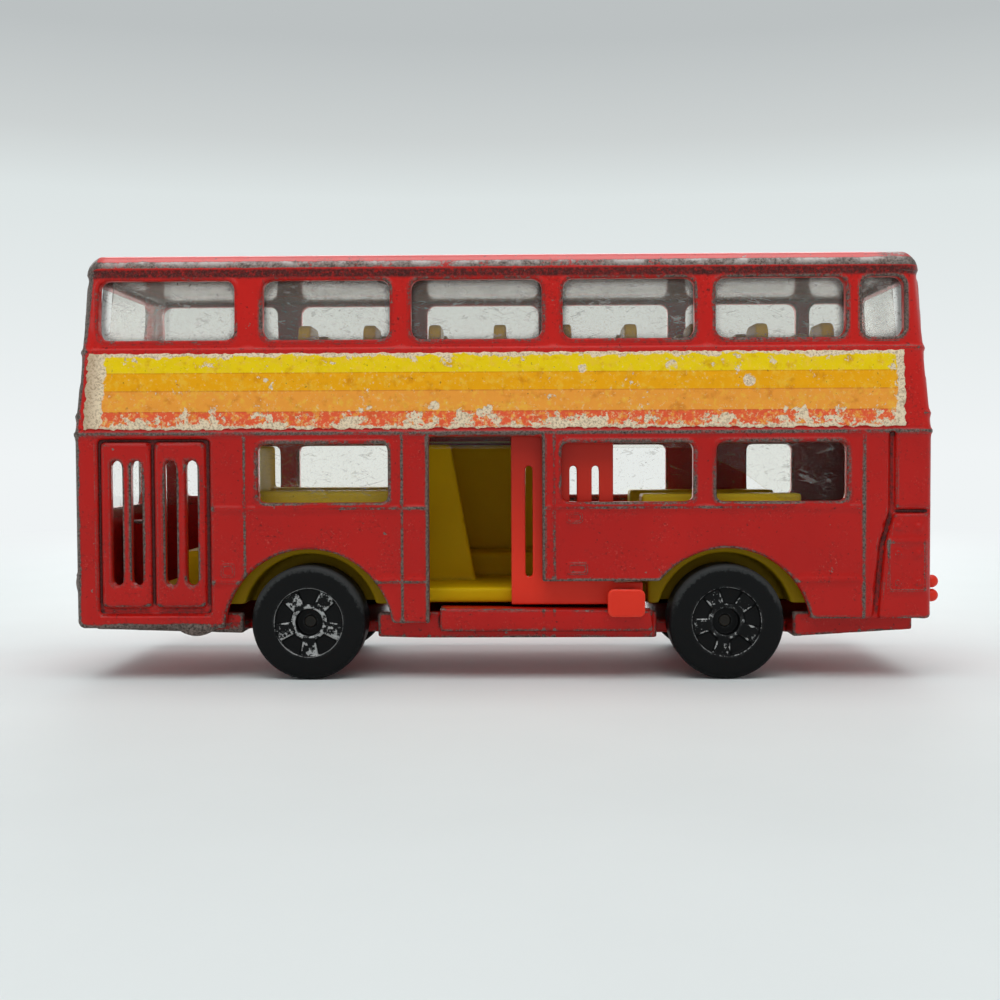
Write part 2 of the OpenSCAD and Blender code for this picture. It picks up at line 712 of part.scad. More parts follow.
module lower_glazing() {
    end_x = inner_len - base_gap;
    sheet_z = deck_z - glass_t;
    near_x = bulkhead_x + fit_gap;
    cut = [for (s = pane_cut_shares) along(s)];
    color(clear) difference() {
        union() {
            block([-end_x, -glass_y, sheet_z], [end_x, glass_y, deck_z]);
            block([-end_x, glass_y - glass_t, ledge_z], [end_x, glass_y, deck_z]);
            block([near_x, -glass_y, ledge_z], [end_x, glass_t - glass_y, deck_z]);
            block([-end_x, -glass_y, windscreen_z[0] - glass_lap],
                [glass_t - end_x, glass_y, deck_z]);
        }
        along_y(-body_w, fit_gap + glass_t - glass_y)
            polygon([[cut[0], base_z], [cut[0], level(pane_strip_h_share)],
                [cut[1], level(pane_strip_h_share)], [cut[2], level(pane_bend_h_share)],
                [cut[3], ledge_z], [cut[3], base_z]]);
    }
}

module sliding_door() {
    leaf_mid = leaf_x + leaf_w / 2;
    slot_pitch = leaf_w * leaf_slot_pitch_share;
    slot_z = [for (s = leaf_slot_h_shares) leaf_z[0] + s * (leaf_z[1] - leaf_z[0])];
    bar_z = [leaf_z[0], panel_z - slide_gap];
    color(door_orange) {
        difference() {
            along_y(-leaf_y, leaf_t - leaf_y) {
                translate([leaf_x, leaf_z[0]]) square([leaf_w, leaf_z[1] - leaf_z[0]]);
                translate([leaf_x, bar_z[0]]) square([leaf_w + bar_len, bar_z[1] - bar_z[0]]);
            }
            along_y(-leaf_y - overrun, leaf_t - leaf_y + overrun)
                for (k = [-1.5:1.5]) slot(leaf_mid + k * slot_pitch, slot_z, leaf_slot_w);
        }
        block([bar_end_x - tab_w + tab_r, -tab_y - tab_t / 2, bar_z[0]],
            [bar_end_x - tab_r, -leaf_y, tab_z + tab_h - tab_r / 2]);
        along_y(-tab_y - tab_t, -tab_y)
            round_rect([bar_end_x - tab_w, tab_z], [bar_end_x, tab_z + tab_h], tab_r);
    }
}

// Axle with flat ends just inside the hubs' holes
module axle(x) {
    end_y = wheel_face_y - hub_hole_depth;
    color(steel) translate([x, 0, axle_z]) rotate([90, 0, 0])
        cylinder(d = axle_d, h = 2 * end_y, center = true);
}

// Outline of a wheel's half section, from its axis to the tread
module wheel_section() {
    square([wheel_r - shoulder_r, wheel_w]);
    translate([0, shoulder_r]) square([wheel_r, wheel_w - 2 * shoulder_r]);
    for (y = [shoulder_r, wheel_w - shoulder_r]) translate([wheel_r - shoulder_r, y]) circle(shoulder_r);
}

// One spoke, wider at the rim
module spoke() {
    root = hub_hole_d / 2;
    tip = hub_d / 2 + shoulder_r / 2;
    polygon([[root, -root * spoke_root_share], [tip, -root * spoke_rim_share],
        [tip, root * spoke_rim_share], [root, root * spoke_root_share]]);
}

// Wheel whose hub faces +Z, with the outer face at zero
module wheel_form() {
    translate([0, 0, -wheel_w]) difference() {
        rotate_extrude() wheel_section();
        translate([0, 0, wheel_w - hub_depth]) difference() {
            cylinder(d = hub_d, h = hub_depth + overrun);
            linear_extrude(hub_depth / 2) {
                for (k = [0:spoke_count - 1]) rotate(k * 360 / spoke_count) spoke();
                circle(d = hub_hole_d * hub_ring_share);
            }
        }
        translate([0, 0, wheel_w - hub_hole_depth]) cylinder(d = hub_hole_d, h = hub_hole_depth + overrun);
        translate([0, 0, -overrun]) cylinder(d = axle_d, h = wheel_w + 2 * overrun);
    }
}

// Wheel on one side of an axle, with one spoke pointing down before it is turned
module wheel(x, side, turn) {
    color(tyre_black) translate([x, side * wheel_face_y, axle_z]) rotate([0, turn, 0])
        rotate([-90 * side, 0, 0]) rotate(side * 90) wheel_form();
}

// Outline of a lamp's half section, from its seat on the wall to the top of its dome
module lamp_section() {
    dome_z = lamp_proud - lamp_d / 2;
    intersection() {
        union() {
            translate([0, dome_z]) circle(d = lamp_d);
            translate([0, dome_z - lamp_d]) square([lamp_d / 2, lamp_d]);
        }
        square([lamp_d, lamp_proud]);
    }
}

// Pair of lamps on one side, joined behind the rear wall
module rear_lamp(side) {
    zs = lamp_zs;
    color(door_orange) {
        for (z = zs) translate([half_len, side * lamp_y, z]) rotate([0, 90, 0]) {
            rotate_extrude() lamp_section();
            translate([0, 0, -wall - glass_t / 2])
                cylinder(d = lamp_d / 2, h = wall + glass_t / 2 + lamp_proud / 2);
        }
        block([inner_len - glass_t, side * lamp_y - lamp_d / 2, zs[0] - lamp_d / 2],
            [inner_len, side * lamp_y + lamp_d / 2, zs[1] + lamp_d / 2]);
    }
}

// Label on the door side, in the plane of the leaning wall
module side_label() {
    rise = [bead_w, upper_sill_z - deck_z - bead_w / 2 - label_gap];
    front = [for (h = rise) corner_r - half_len + lean_at(end_lean, h)];
    rear_x = half_len - label_rear_margin;
    color(paper) translate([0, -half_w, deck_z]) rotate([-atan2(side_lean, upper_h - roof_r), 0, 0])
        along_y(-label_gap - label_t, -label_gap)
            polygon([[front[0], rise[0]], [rear_x, rise[0]], [rear_x, rise[1]], [front[1], rise[1]]]);
}

body_shell();
baseplate();
lower_deck();
upper_deck();
lower_glazing();
upper_glazing();
sliding_door();
axle(axle_xs[0]);  // front_axle
axle(axle_xs[1]);  // rear_axle
wheel(axle_xs[0], -1, 0);  // front_left_wheel
wheel(axle_xs[0], 1, 0);  // front_right_wheel
wheel(axle_xs[1], -1, rear_turn);  // rear_left_wheel
wheel(axle_xs[1], 1, rear_turn);  // rear_right_wheel
rear_lamp(-1);  // rear_lamp_left
rear_lamp(1);  // rear_lamp_right
side_label();  // left_label
mirror([0, 1, 0]) side_label();  // right_label
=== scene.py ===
"""Looks of a worn toy double-decker bus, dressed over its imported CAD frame."""
import json
import math
from functools import cached_property

import bpy
import numpy as np
import openvdb as vdb
from mathutils import Euler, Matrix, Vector, noise


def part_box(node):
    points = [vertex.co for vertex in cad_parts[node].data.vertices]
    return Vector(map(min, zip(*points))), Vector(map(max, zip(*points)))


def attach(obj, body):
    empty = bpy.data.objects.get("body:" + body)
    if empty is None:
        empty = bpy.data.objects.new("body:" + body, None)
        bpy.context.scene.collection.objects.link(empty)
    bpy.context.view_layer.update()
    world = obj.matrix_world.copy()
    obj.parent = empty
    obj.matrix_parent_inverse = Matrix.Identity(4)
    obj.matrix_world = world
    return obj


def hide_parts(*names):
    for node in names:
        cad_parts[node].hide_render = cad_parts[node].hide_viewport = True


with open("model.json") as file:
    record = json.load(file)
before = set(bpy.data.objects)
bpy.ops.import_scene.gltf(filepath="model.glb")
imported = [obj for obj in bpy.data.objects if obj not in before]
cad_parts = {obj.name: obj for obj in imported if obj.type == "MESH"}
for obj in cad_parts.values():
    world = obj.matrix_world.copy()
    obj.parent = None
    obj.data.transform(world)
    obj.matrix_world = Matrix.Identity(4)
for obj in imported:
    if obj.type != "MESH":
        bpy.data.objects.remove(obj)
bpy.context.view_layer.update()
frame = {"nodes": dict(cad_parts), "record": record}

MM = 0.001

# Camera, matched to the photograph
PHOTO_PX = 1000
FOCAL_PX = 1277
SENSOR_MM = 36
CAMERA_MM = (1.6, -117.3, 18.9)
CAMERA_TILT_DEG = -2.0
CAMERA_YAW_DEG = 0.9
CAMERA_ROLL_DEG = 0.25

# Level sets: voxels kept on each side of a surface
BAND = 5

# How far worn edges, rubbed edges and the window frames' dirt and painted shade are felt, in millimetres
EDGE_REACH = 0.18
RUB_REACH = 0.45
FRAME_REACH = 1.0

# Paper labels: thickness, mesh, tears in from the edges and creases, in millimetres, and seeds of these
LABEL_T = 0.1
LABEL_COLUMNS = 460
LABEL_ROWS = 48
TEAR_SIZE = 0.6
LOW_TEAR = 0.18
HIGH_TEAR = 0.12
END_TEAR = 0.2
CREASE_SIZE = 1.3
CREASE_DEPTH = 0.05
LABEL_SEED = 3
LABEL_SEED_STEP = 10

# Printed field: margins of bare paper in millimetres, and tops of its stripes as shares of the height
PRINT_FRONT = 1.5
PRINT_REAR = 0.75
PRINT_LOW = 0.28
PRINT_HIGH = 0.32
STRIPE_SHARES = (0.235, 0.505, 0.737)

# How far in from its bottom, top and rear end the print is rubbed, in millimetres
LOW_RUB = (2.4, 0.3)
HIGH_RUB = (1.5, 0.3)
END_RUB = (4.0, 0.5)

# Front margin, which is soiled towards its edge, in millimetres
SOIL_FRONT = (PRINT_FRONT, 0.2)

# Round spots where the print has lifted: pitch in millimetres and radius as a share of it
BLISTER_PITCH = 5.0
BLISTER_SHARE = 0.15

# Wheels, in millimetres: radii of the foiled spokes, depth of their tops below the tyre's face,
# radius of the ring inside them and radii of the tyre's shoulder, whose upper half gets a painted highlight
FOIL_R = (1.2, 2.95)
FOIL_DEPTH = 0.25
RING_R = 1.6
SHOULDER_R = (4.0, 4.5)

# Worn places, in millimetres: the roof's edge with soot and painted shade below and gloss above, the roof's
# ends, the front corners with their lean above the decks' line, the front skirt and door,
# the rear upper windows and the raised lines, and how softly some of them end
GUTTER_Z = (34.55, 35.4)
GUTTER_SOFT = 0.3
SOOT_AND_SHADE_Z = (33.75, 34.7)
ROOF_Z = (34.9, 35.4)
ROOF_FRONT_X = (-33.6, -34.6)
ROOF_REAR_X = (29.5, 32.5)
DECK_Z = 20.97
DECK_SOFT = 0.5
CORNER_X = (-35.2, -35.7)
CORNER_Y = (9.2, 9.6)
CORNER_LEAN = 0.1
SKIRT_Z = (5.0, 4.7)
SKIRT_X = (-20.0, -21.0)
SKIRT_Y = (7.8, 9.0)
DOOR_X = (-34.0, -24.0)
DOOR_SOFT = 2.0
PANES_X = (5.0, 30.0)
PANES_Z = (27.0, 28.0)
LINES_Z = (14.5, 8.31)
LINES_REACH_X = (-24.2, 30.4)
LINES_X = (-21.56, -8.33, -6.18, 3.55, 4.44, 30.25)
LINE_HALF = 0.17
LINE_SOFT = 0.2

# Wheel wells, which painted shade darkens: middles and radius in millimetres
WELLS_X = (-16.3, 18.9)
WELLS_Z = 4.85
WELL_R = (8.2, 7.4)

# Seats by the lower windows, which painted light brightens: heights, and the doorway's reach between them
SEATS_Z = (13.8, 14.4)
SEATS_SOFT = 1.0
STAIR_X = (-10.5, 7.5)

# Heights between which painted shade darkens the door's leaf, in millimetres
LEAF_Z = (7.0, 20.5)

# Scratches in the glazing: their slopes in radians, and shares that draw them out along the panes
SCRATCH_ANGLES = (0.35, -0.5)
SCRATCH_SHARES = (0.12, 0.12, 1.0)

# Grid step and edge radius in millimetres, and how coarsely flat faces are meshed
CAST = {"step": 0.1, "radius": 0.09, "flat": 0.16}
MOULDED = {"step": 0.11, "radius": 0.14, "flat": 0.12}
CLEAR = {"step": 0.1, "radius": 0.1, "flat": 0.15}
SMALL = {"step": 0.06, "radius": 0.06, "flat": 0.05}
FINE = {"step": 0.035, "radius": 0.04, "flat": 0.05}


def rgb(red, green, blue):
    """Linear colour of a screen colour given from 0 to 255."""
    screen = [value / 255 for value in (red, green, blue)]
    linear = [v / 12.92 if v <= 0.04045 else ((v + 0.055) / 1.055) ** 2.4 for v in screen]
    return (*linear, 1.0)


# Colours of the enamel and of the zinc under it, dark and light where there are two; some of them paint light
# and shade, as noted at each
# The light enamel colour also paints light on the upper deck
PAINT = rgb(174, 18, 13), rgb(212, 28, 20)
DUST = rgb(112, 24, 20)
SPECK = rgb(62, 18, 16)
# Painted glints: small light spots on the enamel
GLINT = rgb(216, 120, 108)
RUBBED = rgb(92, 24, 20)
# Dark colours for hollows, and for painted shade with soot in a band under the roof's gutter lip
SOOT_AND_SHADE = rgb(34, 15, 13), rgb(82, 50, 47)
ZINC = rgb(46, 36, 32), rgb(136, 120, 112)
# Painted highlight on the bare zinc of the roof's edge
ZINC_HIGHLIGHT = rgb(194, 188, 184)

# Plastics and steel: colours, roughness, gloss and share of metal
YELLOW = {"dark": rgb(204, 164, 2), "light": rgb(220, 184, 8), "scuff": rgb(226, 204, 80),
          "rough": 0.45, "gloss": 0.08}
ORANGE = {"dark": rgb(228, 44, 22), "light": rgb(246, 58, 34), "scuff": rgb(240, 112, 88),
          "rough": 0.34, "gloss": 0.25}
STEEL = {"dark": rgb(20, 18, 15), "light": rgb(40, 36, 30), "scuff": rgb(120, 112, 100),
         "rough": 0.4, "gloss": 0.4, "metallic": 0.5}
# Darker colour for the hollows of plastics and steel
HOLLOW_DARK = rgb(40, 30, 20)
# Painted shade for the wheel wells
WELL_SHADE = rgb(60, 44, 8)
# Painted light for the seats by the lower windows
SEAT_LIGHT = rgb(252, 232, 70)
# Painted shade for the door leaf's upper part
LEAF_SHADE = rgb(112, 22, 14)

# Wheels: plastic, scuffs with a painted highlight, and foil, how much foil is gone at the front and rear, and
# gloss
BLACK = rgb(5, 6, 7), rgb(13, 14, 15)
# Colour for scuffs on edges and for the painted highlight on the tyre's upper shoulder
TYRE_SCUFF_AND_HIGHLIGHT = rgb(92, 94, 94)
FOIL = rgb(120, 122, 122), rgb(206, 207, 206)
FRONT_WEAR = 0.54
REAR_WEAR = 0.59
WHEEL_GLOSS = 0.14

# Glazing: its tint, haze, and dirt with painted shade by the frames, how strongly it mirrors, and the most
# that it hides
GLASS_TINT = rgb(252, 252, 250)
HAZE = rgb(214, 212, 206)
# Colour for smudges and painted shade by the window frames
FRAME_DIRT_AND_SHADE = rgb(84, 76, 72)
GLASS_IOR = 1.22
GLASS_LIMIT = 0.95

# Labels: inks from the bottom stripe up, their edges and ageing, bare paper, grime and gloss
INKS = rgb(246, 98, 60), rgb(255, 168, 62), rgb(255, 178, 0), rgb(255, 220, 0)
INK_EDGE = rgb(196, 84, 20)
PALE_INK = rgb(255, 206, 70)
STAINED_INK = rgb(204, 104, 12)
FADED_INK = rgb(248, 222, 160)
PAPER = rgb(250, 230, 198), rgb(150, 116, 82)
SOILED_PAPER = rgb(172, 140, 108)
LABEL_GRIME = rgb(92, 66, 38)
LABEL_GLOSS = 0.2

# Lamps: place, aim and size in millimetres, and power in watts
LAMPS = {
    "overhead": {"place": (0, -60, 260), "aim": (0, 0, 10), "size": 300, "watts": 0.6},
    "back": {"place": (0, 240, 90), "aim": (0, 20, 0), "size": 260, "watts": 0.5},
}

# Floor and background, sizes in millimetres, background by the sine of the height above the horizon
FLOOR_SIZE = 2000
FLOOR_FADE = (60, 240)
FLOOR = rgb(220, 226, 226), rgb(225, 231, 231)
HORIZON = rgb(240, 244, 245)
SKY = ((0.0, HORIZON), (0.195, rgb(221, 228, 228)),
       (0.237, rgb(205, 210, 210)), (0.306, rgb(188, 193, 194)))
WORLD_LIGHT = 0.38
WORLD_TINT = rgb(244, 247, 248)


class Field:
    """Signed distances to a closed surface on a regular grid, in millimetres."""

    def __init__(self, values, origin, step):
        self.values = values
        self.origin = np.asarray(origin, float)
        self.step = step

    @classmethod
    def around(cls, points, triangles, step):
        """Distances round a closed surface, cut off past the band."""
        grid = vdb.FloatGrid.createLevelSetFromPolygons(
            points, triangles=triangles, transform=vdb.createLinearTransform(voxelSize=step), halfWidth=BAND)
        low, high = grid.evalActiveVoxelBoundingBox()
        low = [int(v) - BAND for v in low]
        shape = [int(h) + BAND - l + 1 for l, h in zip(low, high)]
        values = np.empty(shape, np.float32)
        grid.copyToArray(values, ijk=low)
        return cls(values, np.array(low) * step, step)

    def blurred(self, radius):
        """The same field smoothed by a bell curve, which rounds its edges."""
        sigma = radius / self.step
        reach = math.ceil(3 * sigma)
        taps = np.exp(-0.5 * (np.arange(-reach, reach + 1) / sigma) ** 2)
        taps /= taps.sum()
        values = self.values
        for axis in range(3):
            wide = np.pad(values, [(reach, reach) if a == axis else (0, 0) for a in range(3)], mode="edge")
            count = values.shape[axis]
            values = np.zeros_like(values)
            for k, tap in enumerate(taps):
                part = [slice(k, k + count) if a == axis else slice(None) for a in range(3)]
                values += np.float32(tap) * wide[tuple(part)]
        return Field(values, self.origin, self.step)

    def at(self, points):
        """The field at points, interpolated between the grid's values."""
        place = (points - self.origin) / self.step
        cell = np.clip(np.floor(place).astype(int), 0, np.array(self.values.shape) - 2)
        part = place - cell
        total = np.zeros(len(points))
        for corner in np.ndindex(2, 2, 2):
            weight = np.prod(np.where(corner, part, 1 - part), axis=1)
            total += weight * self.values[tuple((cell + corner).T)]
        return total

    def normals(self, points):
        """Outward directions at points on the surface."""
        offsets = np.eye(3) * self.step
        slope = np.stack([self.at(points + o) - self.at(points - o) for o in offsets], axis=1)
        return slope / np.maximum(np.linalg.norm(slope, axis=1, keepdims=True), 1e-9)

    def surface(self, flat):
        """Points and faces where the distance is zero."""
        grid = vdb.FloatGrid(BAND * self.step)
        grid.transform = vdb.createLinearTransform(voxelSize=self.step)
        grid.gridClass = vdb.GridClass.LEVEL_SET
        grid.copyFromArray(self.values, ijk=[round(v) for v in self.origin / self.step])
        points, triangles, quads = grid.convertToPolygons(0.0, flat)
        return points.astype(float), [*triangles[:, ::-1].tolist(), *quads[:, ::-1].tolist()]


def node_surface(node):
    """Points in millimetres and triangles of a CAD node."""
    mesh = frame["nodes"][node].data
    mesh.calc_loop_triangles()
    points = np.empty(len(mesh.vertices) * 3, np.float32)
    mesh.vertices.foreach_get("co", points)
    corners = np.empty(len(mesh.loop_triangles) * 3, np.int32)
    mesh.loop_triangles.foreach_get("vertices", corners)
    return points.reshape(-1, 3) / MM, corners.reshape(-1, 3)


def mesh_object(name, points, faces):
    """Object with a smooth mesh, from points in millimetres."""
    mesh = bpy.data.meshes.new(name)
    mesh.from_pydata(points * MM, [], faces)
    mesh.validate()
    mesh.polygons.foreach_set("use_smooth", [True] * len(mesh.polygons))
    piece = bpy.data.objects.new(name, mesh)
    bpy.context.scene.collection.objects.link(piece)
    return piece


def store(piece, name, values):
    """Keeps one number for each point of a piece."""
    attribute = piece.data.attributes.new(name, "FLOAT", "POINT")
    attribute.data.foreach_set("value", np.asarray(values, np.float32))


def store_places(piece, name, places):
    """Keeps three numbers for each point of a piece."""
    attribute = piece.data.attributes.new(name, "FLOAT_VECTOR", "POINT")
    attribute.data.foreach_set("vector", np.asarray(places, np.float32).ravel())


def piece_points(piece):
    """Points of a piece, in millimetres."""
    points = np.empty(len(piece.data.vertices) * 3, np.float32)
    piece.data.vertices.foreach_get("co", points)
    return points.reshape(-1, 3) / MM


def soften(node, step, radius, flat):
    """Rounded copy of a CAD node that knows which of its edges stand out."""
    rounded = Field.around(*node_surface(node), step).blurred(radius)
    points, faces = rounded.surface(flat)
    piece = mesh_object(node + "_skin", points, faces)
    piece.data.normals_split_custom_set_from_vertices(rounded.normals(points))
    store(piece, "edge", rounded.blurred(EDGE_REACH).at(points) / EDGE_REACH)
    return piece


def mark_hub(piece, node):
    """Keeps each point's place on a wheel: across, depth below the outer face, and up."""
    low, high = (np.array(corner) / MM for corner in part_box(node))
    centre = (low + high) / 2
    face = low[1] if centre[1] < 0 else high[1]
    places = piece_points(piece) - [centre[0], face, centre[2]]
    places[:, 1] = np.abs(places[:, 1])
    store_places(piece, "hub", places)


def ragged(seed, places, size, depth):
    """How far a torn edge lies in from the paper's true edge, at places along it."""
    rough = [noise.fractal(Vector((place / size, seed, 0.5)), 0.9, 2.0, 5) for place in places]
    return depth * np.clip(0.5 + np.array(rough), 0, 1)


def label_corners(node):
    """Outer corners of a label: low front, low rear, high front, high rear."""
    points = np.unique(node_surface(node)[0].round(4), axis=0)
    middle = points[:, 2].mean()
    corners = []
    for part in (points[points[:, 2] < middle], points[points[:, 2] > middle]):
        reach = np.abs(part[:, 1])
        outer = part[reach > reach.max() - LABEL_T / 2]
        corners += [outer[outer[:, 0].argmin()], outer[outer[:, 0].argmax()]]
    return corners


def label_sheet(node, seed):
    """Creased paper with torn edges on the outer face of a label's CAD node."""
    low_front, low_rear, high_front, high_rear = label_corners(node)
    length, height = label_size(node)
    along = np.linspace(0, length, LABEL_COLUMNS + 1)
    up = np.linspace(0, height, LABEL_ROWS + 1)
    low = ragged(seed, along, TEAR_SIZE, LOW_TEAR)
    high = height - ragged(seed + 1, along, TEAR_SIZE, HIGH_TEAR)
    front = ragged(seed + 2, up, TEAR_SIZE, END_TEAR)
    rear = length - ragged(seed + 3, up, TEAR_SIZE, END_TEAR)
    u, v = np.meshgrid(along / length, up / height, indexing="ij")
    x = (front + u * (rear - front)).ravel()
    z = (low[:, None] + v * (high - low)[:, None]).ravel()
    across = (x / length)[:, None]
    rise = (z / height)[:, None]
    flat = (1 - rise) * (low_front + across * (low_rear - low_front))
    flat += rise * (high_front + across * (high_rear - high_front))
    inward = np.cross(low_rear - low_front, high_front - low_front)
    inward *= -np.sign(inward[1] * low_front[1]) / np.linalg.norm(inward)
    spots = [Vector((a / CREASE_SIZE, b / CREASE_SIZE, seed)) for a, b in zip(x, z)]
    crease = np.array([noise.fractal(spot, 0.9, 2.0, 4) for spot in spots])
    outer = flat + np.outer(CREASE_DEPTH * np.clip(0.5 + crease, 0, 1), inward)
    points = np.vstack([outer, flat + inward * LABEL_T])
    piece = mesh_object(node + "_paper", points, sheet_faces(low_front[1] > 0))
    store_places(piece, "paper", np.tile(np.column_stack([x, z, np.zeros_like(x)]), (2, 1)))
    return piece


def label_size(node):
    """Length and height of a label, in millimetres."""
    low_front, low_rear, high_front, _ = label_corners(node)
    return np.linalg.norm(low_rear - low_front), np.linalg.norm(high_front - low_front)


def sheet_faces(turned):
    """Faces of a closed sheet: its front, its back and the strip round its edge."""
    index = np.arange((LABEL_COLUMNS + 1) * (LABEL_ROWS + 1)).reshape(LABEL_COLUMNS + 1, LABEL_ROWS + 1)
    front = np.stack([index[:-1, :-1], index[1:, :-1], index[1:, 1:], index[:-1, 1:]], axis=-1).reshape(-1, 4)
    loop = np.concatenate([index[:-1, 0], index[-1, :-1], index[:0:-1, -1], index[0, :0:-1]])
    after = np.roll(loop, -1)
    edge = np.stack([loop, loop + index.size, after + index.size, after], axis=1)
    faces = np.vstack([front, front[:, ::-1] + index.size, edge])
    return (faces[:, ::-1] if turned else faces).tolist()


class Nodes:
    """Node tree of a material or of the world."""

    def __init__(self, owner):
        owner.use_nodes = True
        self.owner = owner
        self.tree = owner.node_tree
        self.tree.nodes.clear()

    @cached_property
    def place(self):
        """Places in millimetres of the part's own frame."""
        place = self.node("TexCoord").outputs["Object"]
        return self.node("VectorMath", {0: place, "Scale": 1 / MM}, operation="SCALE").outputs[0]

    def node(self, kind, inputs=None, **settings):
        """Adds a node, with its settings and its linked or plain inputs."""
        made = self.tree.nodes.new("ShaderNode" + kind)
        for key, value in settings.items():
            setattr(made, key, value)
        for key, value in (inputs or {}).items():
            if isinstance(value, bpy.types.NodeSocket):
                self.tree.links.new(value, made.inputs[key])
            else:
                made.inputs[key].default_value = value
        return made

    def math(self, operation, a, b=0.0):
        """One operation on one or two values."""
        return self.node("Math", {0: a, 1: b}, operation=operation).outputs[0]

    def plus(self, a, b):
        """Sum of two values."""
        return self.math("ADD", a, b)

    def minus(self, a, b):
        """One value less another."""
        return self.math("SUBTRACT", a, b)

    def times(self, a, b):
        """Product of two values."""
        return self.math("MULTIPLY", a, b)

    def larger(self, a, b):
        """The larger of two values."""
        return self.math("MAXIMUM", a, b)

    def smaller(self, a, b):
        """The smaller of two values."""
        return self.math("MINIMUM", a, b)

    def absolute(self, a):
        """A value without its sign."""
        return self.math("ABSOLUTE", a)

    def inverse(self, a):
        """One less a value."""
        return self.minus(1.0, a)

    def total(self, *terms):
        """Sum of values, each with its own weight."""
        result = 0.0
        for value, weight in terms:
            result = self.node("Math", {0: value, 1: weight, 2: result}, operation="MULTIPLY_ADD").outputs[0]
        return result

    def split(self, vector):
        """The three numbers of a vector."""
        return self.node("SeparateXYZ", {0: vector}).outputs[:]

    def attribute(self, name):
        """A number kept on the mesh."""
        return self.node("Attribute", attribute_name=name).outputs["Fac"]

    def noise(self, size, detail=3.0, rough=0.55, place=None):
        """Noise with blots about so many millimetres wide."""
        inputs = {"Vector": place or self.place, "Scale": 1 / size, "Detail": detail, "Roughness": rough}
        return self.node("TexNoise", inputs).outputs[0]

    def drawn_out(self, angle, shares):
        """Places turned by an angle and then shortened by shares, so that noise there runs in streaks."""
        turned = self.node("VectorRotate", {"Vector": self.place, "Axis": (1, 1, 0), "Angle": angle})
        return self.node("VectorMath", {0: turned.outputs[0], 1: shares}, operation="MULTIPLY").outputs[0]

    def turn(self, reach):
        """How sharply the surface turns within so many millimetres."""
        soft = self.node("Bevel", {"Radius": reach * MM}, samples=8).outputs[0]
        true = self.node("NewGeometry").outputs["Normal"]
        same = self.node("VectorMath", {0: soft, 1: true}, operation="DOT_PRODUCT").outputs["Value"]
        return self.inverse(same)

    def ramp(self, value, low, high):
        """Zero up to low, one from high on, smooth between."""
        inputs = {"Value": value, "From Min": low, "From Max": high}
        return self.node("MapRange", inputs, interpolation_type="SMOOTHSTEP").outputs[0]

    def band(self, value, low, high):
        """One between two values, with soft ends."""
        soft = (high - low) / 4
        return self.times(self.ramp(value, low, low + soft), self.ramp(value, high, high - soft))

    def scaled(self, value, low, high):
        """A value from zero to one moved to another range."""
        return self.node("MapRange", {"Value": value, "To Min": low, "To Max": high}).outputs[0]

    def mix(self, share, a, b):
        """Colour between two colours."""
        return self.node("Mix", {0: share, 6: a, 7: b}, data_type="RGBA").outputs[2]

    def tint(self, colour, mask, strength, other):
        """A colour moved towards another where a mask says so."""
        return self.mix(self.times(mask, strength), colour, other)

    def steps(self, value, stops, interpolation="LINEAR"):
        """Colours along a value, given as places and colours."""
        made = self.node("ValToRGB", {0: value})
        ramp = made.color_ramp
        ramp.interpolation = interpolation
        while len(ramp.elements) < len(stops):
            ramp.elements.new(1.0)
        for element, (place, colour) in zip(ramp.elements, stops):
            element.position = place
            element.color = colour
        return made.outputs[0]

    def bump(self, height, strength, distance, under=None):
        """Surface direction for a height, in millimetres."""
        inputs = {"Height": height, "Strength": strength, "Distance": distance * MM}
        if under:
            inputs["Normal"] = under
        return self.node("Bump", inputs).outputs[0]

    def principled(self, inputs):
        """The main shader."""
        return self.node("BsdfPrincipled", inputs).outputs[0]

    def finish(self, shader, output="OutputMaterial"):
        """Shows a shader, and returns the material or the world that has it."""
        self.node(output, {"Surface": shader})
        return self.owner


def material_nodes(name):
    """Node tree of a new material."""
    return Nodes(bpy.data.materials.new(name))


def worn_places(n):
    """How worn the paint is in places such as the roof's edge and the front corners, and the raised lines."""
    x, y, z = n.split(n.place)
    gutter = n.band(z, *GUTTER_Z)
    ends = n.larger(n.ramp(x, *ROOF_FRONT_X), n.ramp(x, *ROOF_REAR_X))
    ends = n.times(ends, n.ramp(z, GUTTER_Z[0], GUTTER_Z[0] + GUTTER_SOFT))
    rise = n.larger(n.minus(z, DECK_Z), 0.0)
    lean = n.times(rise, CORNER_LEAN)
    corner = n.ramp(n.minus(x, lean), *CORNER_X)
    corner = n.times(corner, n.ramp(n.plus(n.absolute(y), lean), *CORNER_Y))
    skirt = n.times(n.ramp(z, *SKIRT_Z), n.ramp(x, *SKIRT_X))
    skirt = n.times(skirt, n.ramp(n.absolute(y), *SKIRT_Y))
    door = n.times(n.band(x, *DOOR_X), n.ramp(z, DECK_Z, DECK_Z - DOOR_SOFT))
    panes = n.times(n.ramp(x, *PANES_X), n.ramp(z, *PANES_Z))
    lines = n.band(z, DECK_Z - 2 * LINE_HALF, DECK_Z)
    between = n.band(x, *LINES_REACH_X)
    for place in LINES_Z:
        line = n.times(between, n.band(z, place - LINE_HALF, place + LINE_HALF))
        lines = n.larger(lines, line)
    below = n.ramp(z, DECK_Z, DECK_Z - LINE_SOFT)
    for place in LINES_X:
        line = n.times(below, n.band(x, place - LINE_HALF, place + LINE_HALF))
        lines = n.larger(lines, line)
    places = n.total((corner, 0.4), (skirt, 0.3), (door, 0.07), (gutter, 0.42), (ends, 0.2), (panes, 0.1))
    return places, lines


